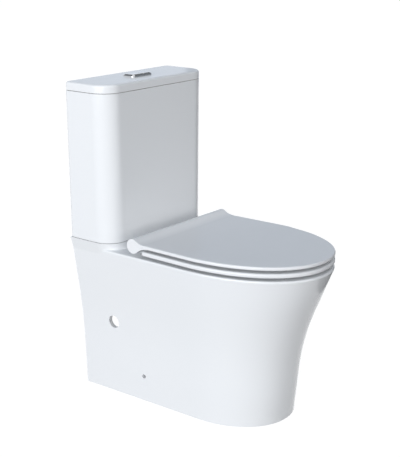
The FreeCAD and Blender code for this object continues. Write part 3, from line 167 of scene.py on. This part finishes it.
def makeSmudge():
    group, given, out = newGroup("smudge", {"Scale": 30.0, "Low": 0.05, "High": 0.12}, ["Roughness"])
    cloud = noiseNode(group, objectPoint(group), given.outputs["Scale"], 5, 0.65)
    span = addNode(group, "ShaderNodeMapRange", From_Min=smudgeSpan[0], From_Max=smudgeSpan[1])
    group.links.new(cloud, span.inputs["Value"])
    join(group, given, "Low", span, "To Min")
    join(group, given, "High", span, "To Max")
    join(group, span, "Result", out, "Roughness")
    return group


def makeBrushLines():
    group, given, out = newGroup("brushLines", {"Scale": 60.0}, ["Height", "Tone"])
    lines = noiseNode(group, objectPoint(group, brushStretch), given.outputs["Scale"], 4, 0.7)
    group.links.new(lines, out.inputs["Height"])
    group.links.new(lines, out.inputs["Tone"])
    return group


glazeSkin = makeGlazeSkin(glazeMarks)
mouldGrain = makeMouldGrain()
smudge = makeSmudge()
brushLines = makeBrushLines()
print("shared effects made")


def emptyMaterial(name):
    material = bpy.data.materials.new(name)
    material.use_nodes = True
    tree = material.node_tree
    tree.nodes.clear()
    return material, tree, tree.nodes.new("ShaderNodeOutputMaterial")


def newMaterial(name):
    material, tree, output = emptyMaterial(name)
    shader = tree.nodes.new("ShaderNodeBsdfPrincipled")
    join(tree, shader, "BSDF", output, "Surface")
    return material, tree, shader


def addSmudge(tree, shader, scale, rough):
    marks = useGroup(tree, smudge, Scale=scale, Low=rough[0], High=rough[1])
    join(tree, marks, "Roughness", shader, "Roughness")


# glazed china of the pan, tank and tank lid
chinaLook = {
    "white": (0.85, 0.865, 0.88, 1),
    "deep": (0.835, 0.855, 0.875, 1),       # thicker glaze, a little cooler
    "speck": (0.70, 0.68, 0.64, 1),
    "shine": (0.10, 0.15),
    "smudge": 18.0,
    "bend": 1.52,       # index of refraction of the glaze
    "peel": 0.05,
    "bump": 0.25,
    "wave": 0.00035,
}


def makeChina(name, look):
    material, tree, shader = newMaterial(name)
    skin = useGroup(tree, glazeSkin, Peel_Share=look["peel"])
    colour = mixColour(tree, skin.outputs["Cloud"], look["white"], look["deep"])
    colour = mixColour(tree, skin.outputs["Pinhole"], colour, look["speck"])
    tree.links.new(colour, shader.inputs["Base Color"])
    addSmudge(tree, shader, look["smudge"], look["shine"])
    shader.inputs["IOR"].default_value = look["bend"]
    bumpFrom(tree, skin.outputs["Height"], shader, look["bump"], look["wave"])
    return material


# fired clay, resin, rubber and plastics, which share a fine grain
clayDepth, plasticDepth, metalDepth = 0.0004, 0.0002, 0.0001       # height of the surface marks


def makeGrained(name, look, depth=plasticDepth):
    material, tree, shader = newMaterial(name)
    grain = useGroup(tree, mouldGrain, Grain_Scale=look["grain"], Flow_Scale=look["flow"])
    colour = mixColour(tree, grain.outputs["Flow"], look["base"], look["tone"])
    tree.links.new(colour, shader.inputs["Base Color"])
    addSmudge(tree, shader, look["smudge"], look["rough"])
    bumpFrom(tree, grain.outputs["Height"], shader, look["bump"], depth)
    return material


def makeMetal(name, look):
    material, tree, shader = newMaterial(name)
    shader.inputs["Metallic"].default_value = 1.0
    lines = useGroup(tree, brushLines, Scale=look["lines"])
    colour = mixColour(tree, lines.outputs["Tone"], look["base"], look["tone"])
    tree.links.new(colour, shader.inputs["Base Color"])
    addSmudge(tree, shader, look["smudge"], look["rough"])
    bumpFrom(tree, lines.outputs["Height"], shader, look["bump"], metalDepth)
    return material


clayLook = {"base": (0.80, 0.78, 0.74, 1), "tone": (0.70, 0.66, 0.60, 1), "rough": (0.55, 0.75),
            "grain": 700.0, "flow": 9.0, "smudge": 40.0, "bump": 0.35}
seatLook = {"base": (0.83, 0.845, 0.86, 1), "tone": (0.82, 0.835, 0.855, 1), "rough": (0.22, 0.265),
            "grain": 90.0, "flow": 6.0, "smudge": 9.0, "bump": 0.012}
chromeLook = {"base": (0.67, 0.68, 0.70, 1), "tone": (0.62, 0.63, 0.65, 1), "rough": (0.04, 0.10),
              "lines": 20.0, "smudge": 90.0, "bump": 0.01}
steelLook = {"base": (0.62, 0.62, 0.63, 1), "tone": (0.48, 0.48, 0.50, 1), "rough": (0.29, 0.40),
             "lines": 60.0, "smudge": 60.0, "bump": 0.15}
# steel of the skirt screws, darkened to paint the shade of the recessed holes they sit in
recessShadeSteelLook = {"base": (0.17, 0.175, 0.19, 1), "tone": (0.11, 0.115, 0.125, 1), "rough": (0.30, 0.42),
                 "lines": 60.0, "smudge": 60.0, "bump": 0.15}
rubberLook = {"base": (0.035, 0.035, 0.037, 1), "tone": (0.06, 0.06, 0.062, 1), "rough": (0.55, 0.75),
              "grain": 1200.0, "flow": 40.0, "smudge": 80.0, "bump": 0.3}
# grey rubber of the seat buffers, kept this dark to paint the shade of the gap between the pan and the seat
# ring
gapShadeBufferLook = {"base": (0.27, 0.275, 0.28, 1), "tone": (0.23, 0.235, 0.24, 1), "rough": (0.35, 0.5),
              "grain": 1200.0, "flow": 60.0, "smudge": 80.0, "bump": 0.1}
valveLook = {"base": (0.82, 0.82, 0.79, 1), "tone": (0.74, 0.74, 0.70, 1), "rough": (0.35, 0.5),
             "grain": 1100.0, "flow": 22.0, "smudge": 50.0, "bump": 0.12}
blueLook = {"base": (0.06, 0.17, 0.36, 1), "tone": (0.045, 0.13, 0.30, 1), "rough": (0.35, 0.5),
            "grain": 1100.0, "flow": 30.0, "smudge": 50.0, "bump": 0.12}
greyLook = {"base": (0.10, 0.10, 0.105, 1), "tone": (0.07, 0.07, 0.075, 1), "rough": (0.4, 0.55),
            "grain": 1000.0, "flow": 30.0, "smudge": 50.0, "bump": 0.15}

rawClay = makeGrained("rawClay", clayLook, clayDepth)
slotMaterials = {
    "china": makeChina("glazedChina", chinaLook),
    "seat_resin": makeGrained("seatResin", seatLook),
    "chrome": makeMetal("polishedChrome", chromeLook),
    "steel": makeMetal("stainlessSteel", steelLook),
    "black_rubber": makeGrained("blackRubber", rubberLook),
    # the buffers' dark grey paints the shade of the gap they sit in
    "grey_buffer": makeGrained("gapShadeBufferRubber", gapShadeBufferLook),
    "valve_plastic": makeGrained("valvePlastic", valveLook),
    "blue_plastic": makeGrained("bluePlastic", blueLook),
    "damper_plastic": makeGrained("greyPlastic", greyLook),
}
for entry in frame["record"]["subparts"]:
    mesh = nodes[entry["node"]].data
    mesh.materials.clear()
    mesh.materials.append(slotMaterials[entry["material_slot"]])
print("materials given to", len(nodes), "nodes")

# clay that the glaze never reached: inside the skirt, inside the tank and on standing faces
bareFaces = {"standoff": 0.0005, "footLevel": 0.002, "facingDown": -0.9, "lidFacingDown": -0.5,
             "sideLean": 0.35, "upLean": 0.2, "downLean": 0.6, "widestBore": 0.086}


def rayHits(tree, start, way):
    return tree.ray_cast(start, Vector(way))[0] is not None


def countHits(tree, start, ways):
    return sum(rayHits(tree, start, way) for way in ways)


def isRawPan(tree, middle, normal):
    start = middle + normal * bareFaces["standoff"]
    out = math.copysign(1, middle.x)
    side, up, down = bareFaces["sideLean"], bareFaces["upLean"], bareFaces["downLean"] * out
    sideways = ((out, -side, 0), (out, 0, 0), (out, side, 0))
    upwards = ((0, 0, 1), (0, -up, 1), (0, up, 1), (-out * up, 0, 1))
    downwards = ((0, 0, -1), (-down, 0, -1), (down, 0, -1))
    behindWall = countHits(tree, start, sideways) > 1       # one ray may leave by a hole
    underDeck = countHits(tree, start, upwards) > 1
    facingWall = tree.ray_cast(start, normal, bareFaces["widestBore"])[0] is not None
    inWaterway = facingWall and countHits(tree, start, downwards) == len(downwards)
    onFoot = normal.z < bareFaces["facingDown"] and middle.z < bareFaces["footLevel"]
    return onFoot or (behindWall and underDeck and not inWaterway)


def isRawTank(tree, middle, normal):
    start = middle + normal * bareFaces["standoff"]
    return rayHits(tree, start, (math.copysign(1, middle.x), 0, 0)) or normal.z < bareFaces["facingDown"]


def isRawLid(tree, middle, normal):
    return normal.z < bareFaces["lidFacingDown"]


def leaveRaw(node, isRaw):
    mesh = nodes[node].data
    points = [point.co for point in mesh.vertices]
    tree = BVHTree.FromPolygons(points, [face.vertices for face in mesh.polygons])
    mesh.materials.append(rawClay)
    for face in mesh.polygons:
        face.material_index = int(isRaw(tree, face.center, face.normal))


leaveRaw("pan", isRawPan)
leaveRaw("cistern_tank", isRawTank)
leaveRaw("cistern_lid", isRawLid)
print("raw clay left on the hidden faces")

creaseAngle = math.radians(35)      # edges sharper than this stay crisp


# small formed pieces, each a set of stacks of closed loops
def linkObject(name, data):
    piece = bpy.data.objects.new(name, data)
    bpy.context.scene.collection.objects.link(piece)
    return piece


def linkPiece(name, points, faces, material):
    mesh = bpy.data.meshes.new(name)
    mesh.from_pydata(points, [], faces)
    shape = bmesh.new()
    shape.from_mesh(mesh)
    bmesh.ops.recalc_face_normals(shape, faces=shape.faces)
    shape.to_mesh(mesh)
    shape.free()
    mesh.polygons.foreach_set("use_smooth", [True] * len(mesh.polygons))
    mesh.set_sharp_from_angle(angle=creaseAngle)
    mesh.materials.append(material)
    return linkObject(name, mesh)


def stackLoops(name, stacks, material):
    points, faces = [], []
    for loops in stacks:
        start, count = len(points), len(loops[0])
        points += [point for loop in loops for point in loop]
        for row in range(len(loops) - 1):
            base = start + row * count
            for spot in range(count):
                after = (spot + 1) % count
                faces.append((base + spot, base + after, base + count + after, base + count + spot))
        faces.append(tuple(range(start, start + count)))
        faces.append(tuple(range(len(points) - count, len(points))))
    return linkPiece(name, points, faces, material)


# flush buttons with a finger dish in each
buttonLook = {"corner": 0.0027, "leastCorner": 0.0004, "cornerSteps": 6, "edge": 0.001, "edgeSteps": 4,
              "lip": 0.0022, "dish": 0.0011, "dishRun": 0.008, "dishSteps": 8}


def roundedLoop(low, high, inset, z):
    corner = max(buttonLook["corner"] - inset, buttonLook["leastCorner"])
    points = []
    for quarter, (x, y) in enumerate(((1, 1), (-1, 1), (-1, -1), (1, -1))):
        middleX = (high.x if x > 0 else low.x) - x * (inset + corner)
        middleY = (high.y if y > 0 else low.y) - y * (inset + corner)
        for step in range(buttonLook["cornerSteps"] + 1):
            turn = math.pi / 2 * (quarter + step / buttonLook["cornerSteps"])
            points.append((middleX + corner * math.cos(turn), middleY + corner * math.sin(turn), z))
    return points


def makeButton(node, name):
    low, high = (Vector(corner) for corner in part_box(node))
    edge = buttonLook["edge"]
    levels = [(0, low.z), (0, high.z - edge)]
    for step in range(1, buttonLook["edgeSteps"] + 1):
        turn = math.pi / 2 * step / buttonLook["edgeSteps"]
        levels.append((edge * (1 - math.cos(turn)), high.z - edge * (1 - math.sin(turn))))
    for step in range(buttonLook["dishSteps"] + 1):
        share = step / buttonLook["dishSteps"]
        sink = share * share * (3 - 2 * share)      # eases in and out
        levels.append((buttonLook["lip"] + buttonLook["dishRun"] * share, high.z - buttonLook["dish"] * sink))
    loops = [roundedLoop(low, high, inset, z) for inset, z in levels]
    piece = stackLoops(name, [loops], slotMaterials["chrome"])
    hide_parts(node)
    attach(piece, node)


makeButton("full_button", "fullFlushButton")
makeButton("half_button", "halfFlushButton")
print("flush buttons dished")

# return springs round the push rods
springLook = {"coil": 0.005, "wire": 0.00045, "turns": 5, "steps": 32, "sides": 10, "press": 0.006}


def makeSpring(node, name):
    low, high = (Vector(corner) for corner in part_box(node))
    middle, wire, up = (low + high) / 2, springLook["wire"], Vector((0, 0, 1))
    count = springLook["turns"] * springLook["steps"]
    climb = (high.z - low.z - 2 * wire) / count
    bends = [2 * math.pi * side / springLook["sides"] for side in range(springLook["sides"])]
    loops = []
    for spot in range(count + 1):
        turn = 2 * math.pi * spot / springLook["steps"]
        out = Vector((math.cos(turn), math.sin(turn), 0))
        heart = Vector((middle.x, middle.y, low.z + wire + climb * spot)) + out * springLook["coil"]
        loops.append([heart + (out * math.cos(bend) + up * math.sin(bend)) * wire for bend in bends])
    piece = stackLoops(name, [loops], slotMaterials["steel"])
    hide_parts(node)
    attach(piece, "cistern_lid")
    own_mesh(piece)


makeSpring("full_spring", "fullReturnSpring")
makeSpring("half_spring", "halfReturnSpring")
print("return springs wound")

# crosshead screws through the skirt, head outwards
screwLook = {
    "head": 0.0049,
    "headHeight": 0.003,
    "dome": ((1.0, 0.0011), (0.93, 0.0005), (0.8, 0.0001)),     # share of the head's radius, depth
    "shank": 0.0024,
    "length": 0.020,
    "tip": (0.6, 0.001),        # share of the shank's radius, length
    "arm": 0.0031,
    "blade": 0.0008,
    "sink": 0.0019,
    "spots": 48,
}
tiny = 1e-6


def crossReach(turn):
    across = (turn + math.pi / 4) % (math.pi / 2) - math.pi / 4
    straight = screwLook["arm"] / math.cos(across)
    return min(straight, screwLook["blade"] / max(abs(math.sin(across)), tiny))


def makeScrews():
    low, high = (Vector(corner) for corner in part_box("side_screws"))
    axisY, axisZ = (low.y + high.y) / 2, (low.z + high.z) / 2
    head, shank, length = screwLook["head"], screwLook["shank"], screwLook["length"]
    tipShare, tipLength = screwLook["tip"]
    profile = [(shank * tipShare, length), (shank, length - tipLength), (shank, screwLook["headHeight"]),
               (head, screwLook["headHeight"])]
    profile += [(head * share, depth) for share, depth in screwLook["dome"]]
    profile += [(None, 0.0), (None, screwLook["sink"])]         # walls of the cross
    turns = [2 * math.pi * spot / screwLook["spots"] for spot in range(screwLook["spots"])]
    stacks = []
    for side in (-1, 1):
        loops = []
        for radius, depth in profile:
            reaches = [(crossReach(turn) if radius is None else radius, turn) for turn in turns]
            loops.append([(side * (high.x - depth), axisY + reach * math.cos(turn),
                           axisZ + reach * math.sin(turn)) for reach, turn in reaches])
        stacks.append(loops)
    # the darkened steel paints the shade of the screw recesses
    piece = stackLoops("skirtScrews", stacks, makeMetal("recessShadeSteel", recessShadeSteelLook))
    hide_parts("side_screws")
    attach(piece, "base")


makeScrews()
print("skirt screws cut with their cross")

# screw threads, each a closed ridge wound on its shank
threads = {
    "fillTailThread": {"slot": "valve_plastic", "x": (-0.13,), "y": 0.2555, "span": (0.3790, 0.4030),
                       "radius": 0.01045, "pitch": 0.0018, "ridge": 0.0004},
    "cisternBoltThread": {"slot": "steel", "x": (-0.08, 0.08), "y": 0.2555, "span": (0.3686, 0.3830),
                          "radius": 0.004, "pitch": 0.00125, "ridge": 0.0003},
}
ridgeForm = {"steps": 24, "fadeSteps": 12, "sunk": 0.00005, "halfWidth": 0.4}      # half width in pitches


def makeThread(name, look):
    low, high = look["span"]
    steps, fadeSteps = ridgeForm["steps"], ridgeForm["fadeSteps"]
    count = int((high - low) / look["pitch"] * steps)
    root, half = look["radius"] - ridgeForm["sunk"], look["pitch"] * ridgeForm["halfWidth"]
    stacks = []
    for x in look["x"]:
        loops = []
        for spot in range(count + 1):
            turn = 2 * math.pi * spot / steps
            fade = min(1, spot / fadeSteps, (count - spot) / fadeSteps)
            z = low + look["pitch"] * spot / steps
            section = ((root, -half), (look["radius"] + look["ridge"] * fade, 0), (root, half))
            loops.append([(x + reach * math.cos(turn), look["y"] + reach * math.sin(turn), z + rise)
                          for reach, rise in section])
        stacks.append(loops)
    piece = stackLoops(name, stacks, slotMaterials[look["slot"]])
    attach(piece, "base")


for name, look in threads.items():
    makeThread(name, look)
print("threads wound")

# camera as in the photograph
cameraSet = {"azimuth": -51.5, "elevation": 16.143, "eye": (-2.0287, -1.5622, 1.1946), "lens": 83.96}


def pointAlong(thing, way):
    thing.rotation_mode = "QUATERNION"
    thing.rotation_quaternion = way.to_track_quat("-Z", "Y")


def makeCamera():
    azimuth, elevation = math.radians(cameraSet["azimuth"]), math.radians(cameraSet["elevation"])
    towardsEye = Vector((math.sin(azimuth) * math.cos(elevation), -math.cos(azimuth) * math.cos(elevation),
                         math.sin(elevation)))
    cameraData = bpy.data.cameras.new("camera")
    cameraData.lens = cameraSet["lens"]
    camera = linkObject("camera", cameraData)
    camera.location = cameraSet["eye"]
    pointAlong(camera, -towardsEye)
    bpy.context.scene.camera = camera


# studio light: a wide soft lamp on the left, a sky that is dimmer overhead and on the right
studio = {
    "leftSky": (0.45, 0.447, 0.447, 1),
    "rightSky": (0.15, 0.149, 0.148, 1),
    "highSky": (0.155, 0.21, 0.285, 1),
    "highFrom": 0.25,
    "frontSky": (1.30, 1.295, 1.295, 1),
    "frontWay": (-0.3, -0.954, 0.0),
    "frontSpan": (0.25, 1.0),
    "backSky": (0.90, 0.94, 1.0, 1),
    "backWay": (0.62, 0.78, 0.0),
    "backSpan": (0.3, 0.95),
    "keyPower": 219.0,
    "keyTone": (0.955, 0.972, 1.0),
    "keySize": (5.6, 2.0),
    "keyPlace": (-5.2, -0.45, 1.05),
    "keyAim": (0, 0, 0.42),
    "floorTone": (0.15, 0.151, 0.153, 1),
    "floorGlow": 0.94,
    "floorHalf": 20.0,
}


def addRayMask(tree):
    path = tree.nodes.new("ShaderNodeLightPath")
    seen = mathNode(tree, "MAXIMUM", path.outputs["Is Camera Ray"], path.outputs["Is Glossy Ray"])
    return mathNode(tree, "MAXIMUM", seen, path.outputs["Is Transmission Ray"])


def addSkyLobe(tree, place, colour, way, span, tone):
    turned = tree.nodes.new("ShaderNodeVectorMath")
    turned.operation = "DOT_PRODUCT"
    turned.inputs[1].default_value = way
    join(tree, place, "Generated", turned, 0)
    share = addNode(tree, "ShaderNodeMapRange", From_Min=span[0], From_Max=span[1])
    share.interpolation_type = "SMOOTHSTEP"
    join(tree, turned, "Value", share, "Value")
    return mixColour(tree, share.outputs["Result"], colour, tone)


def makeWorld():
    world = bpy.data.worlds.new("studioWorld")
    bpy.context.scene.world = world
    world.use_nodes = True
    world.cycles.sampling_method = "NONE"       # the sky is smooth, so chance rays find it well
    tree = world.node_tree
    tree.nodes.clear()
    place = tree.nodes.new("ShaderNodeTexCoord")
    split = tree.nodes.new("ShaderNodeSeparateXYZ")
    join(tree, place, "Generated", split, "Vector")
    across = addNode(tree, "ShaderNodeMapRange", From_Min=-1.0, From_Max=1.0)
    join(tree, split, "X", across, "Value")
    upward = addNode(tree, "ShaderNodeMapRange", From_Min=studio["highFrom"], From_Max=1.0)
    upward.interpolation_type = "SMOOTHSTEP"
    join(tree, split, "Z", upward, "Value")
    colour = mixColour(tree, across.outputs["Result"], studio["leftSky"], studio["rightSky"])
    colour = mixColour(tree, upward.outputs["Result"], colour, studio["highSky"])
    colour = addSkyLobe(tree, place, colour, studio["frontWay"], studio["frontSpan"], studio["frontSky"])
    colour = addSkyLobe(tree, place, colour, studio["backWay"], studio["backSpan"], studio["backSky"])
    sky = addNode(tree, "ShaderNodeBackground")
    tree.links.new(colour, sky.inputs["Color"])
    backdrop = addNode(tree, "ShaderNodeBackground", Color=plainWhite)
    mix = tree.nodes.new("ShaderNodeMixShader")
    tree.links.new(addRayMask(tree), mix.inputs["Fac"])
    join(tree, sky, 0, mix, 1)
    join(tree, backdrop, 0, mix, 2)
    output = tree.nodes.new("ShaderNodeOutputWorld")
    join(tree, mix, "Shader", output, "Surface")


def makeKeyLight():
    lamp = bpy.data.lights.new("keyLight", "AREA")
    lamp.shape = "RECTANGLE"
    lamp.size, lamp.size_y = studio["keySize"]
    lamp.energy = studio["keyPower"]
    lamp.color = studio["keyTone"]
    key = linkObject("keyLight", lamp)
    key.location = studio["keyPlace"]
    pointAlong(key, Vector(studio["keyAim"]) - key.location)


def linkSheet(name, corners, material):
    mesh = bpy.data.meshes.new(name)
    mesh.from_pydata(corners, [], [(0, 1, 2, 3)])
    mesh.materials.append(material)
    return linkObject(name, mesh)


def makeFloor():
    material, tree, output = emptyMaterial("paleFloor")
    matt = addNode(tree, "ShaderNodeBsdfDiffuse", Color=studio["floorTone"])
    glow = addNode(tree, "ShaderNodeEmission", Color=plainWhite)
    strength = mathNode(tree, "MULTIPLY", addRayMask(tree), studio["floorGlow"])
    tree.links.new(strength, glow.inputs["Strength"])
    both = tree.nodes.new("ShaderNodeAddShader")
    join(tree, matt, 0, both, 0)
    join(tree, glow, 0, both, 1)
    join(tree, both, "Shader", output, "Surface")
    half = studio["floorHalf"]
    corners = [(-half, -half, 0), (half, -half, 0), (half, half, 0), (-half, half, 0)]
    floor = linkSheet("floor", corners, material)


# cards that only reflections see: dark ones for edges in chrome and glaze, pale ones behind
cards = {
    "plateCardRight": {"tone": (0.21, 0.22, 0.23, 1), "middle": (1.75, -0.41, 2.2), "facing": (0, 0, -1),
                       "half": (0.75, 0.75)},
    "plateCardLeft": {"tone": (0.21, 0.22, 0.23, 1), "middle": (-0.52, 1.33, 2.2), "facing": (0, 0, -1),
                      "half": (0.55, 0.55)},
    "sideCard": {"tone": (0.12, 0.12, 0.12, 1), "middle": (1.25, -0.75, 0.75), "facing": (-0.85, 0.5, 0),
                 "half": (1.1, 0.8)},
    "lowCard": {"tone": (0.20, 0.20, 0.20, 1), "middle": (0.95, -0.75, 0.004), "facing": (0, 0, 1),
                "half": (0.9, 0.6)},
    "backCard": {"tone": (0.85, 0.915, 1.01, 1), "middle": (1.285, 2.50, 1.4), "facing": (-0.78, -0.62, 0),
                 "half": (1.05, 1.0)},
    "seatCard": {"tone": (0.55, 0.60, 0.67, 1), "middle": (2.653, 0.778, 1.4), "facing": (-0.78, -0.62, 0),
                 "half": (1.15, 1.0)},
}


def makeCard(name, card):
    facing = Vector(card["facing"]).normalized()
    level = Vector((-facing.y, facing.x, 0))
    wide = (level if level.length else facing.orthogonal()).normalized()      # a flat card lies cornerwise
    tall = facing.cross(wide)
    middle = Vector(card["middle"])
    reach, rise = card["half"]
    corners = [middle + wide * reach * a + tall * rise * b for a, b in ((-1, -1), (1, -1), (1, 1), (-1, 1))]
    material, tree, output = emptyMaterial(name)
    glow = addNode(tree, "ShaderNodeEmission", Color=card["tone"])
    join(tree, glow, "Emission", output, "Surface")
    piece = linkSheet(name, corners, material)
    piece.visible_camera = False
    piece.visible_diffuse = False
    piece.visible_shadow = False


makeCamera()
makeWorld()
makeKeyLight()
makeFloor()
for name, card in cards.items():
    makeCard(name, card)
bpy.context.scene.view_settings.view_transform = "Standard"
print("camera, light and floor made")
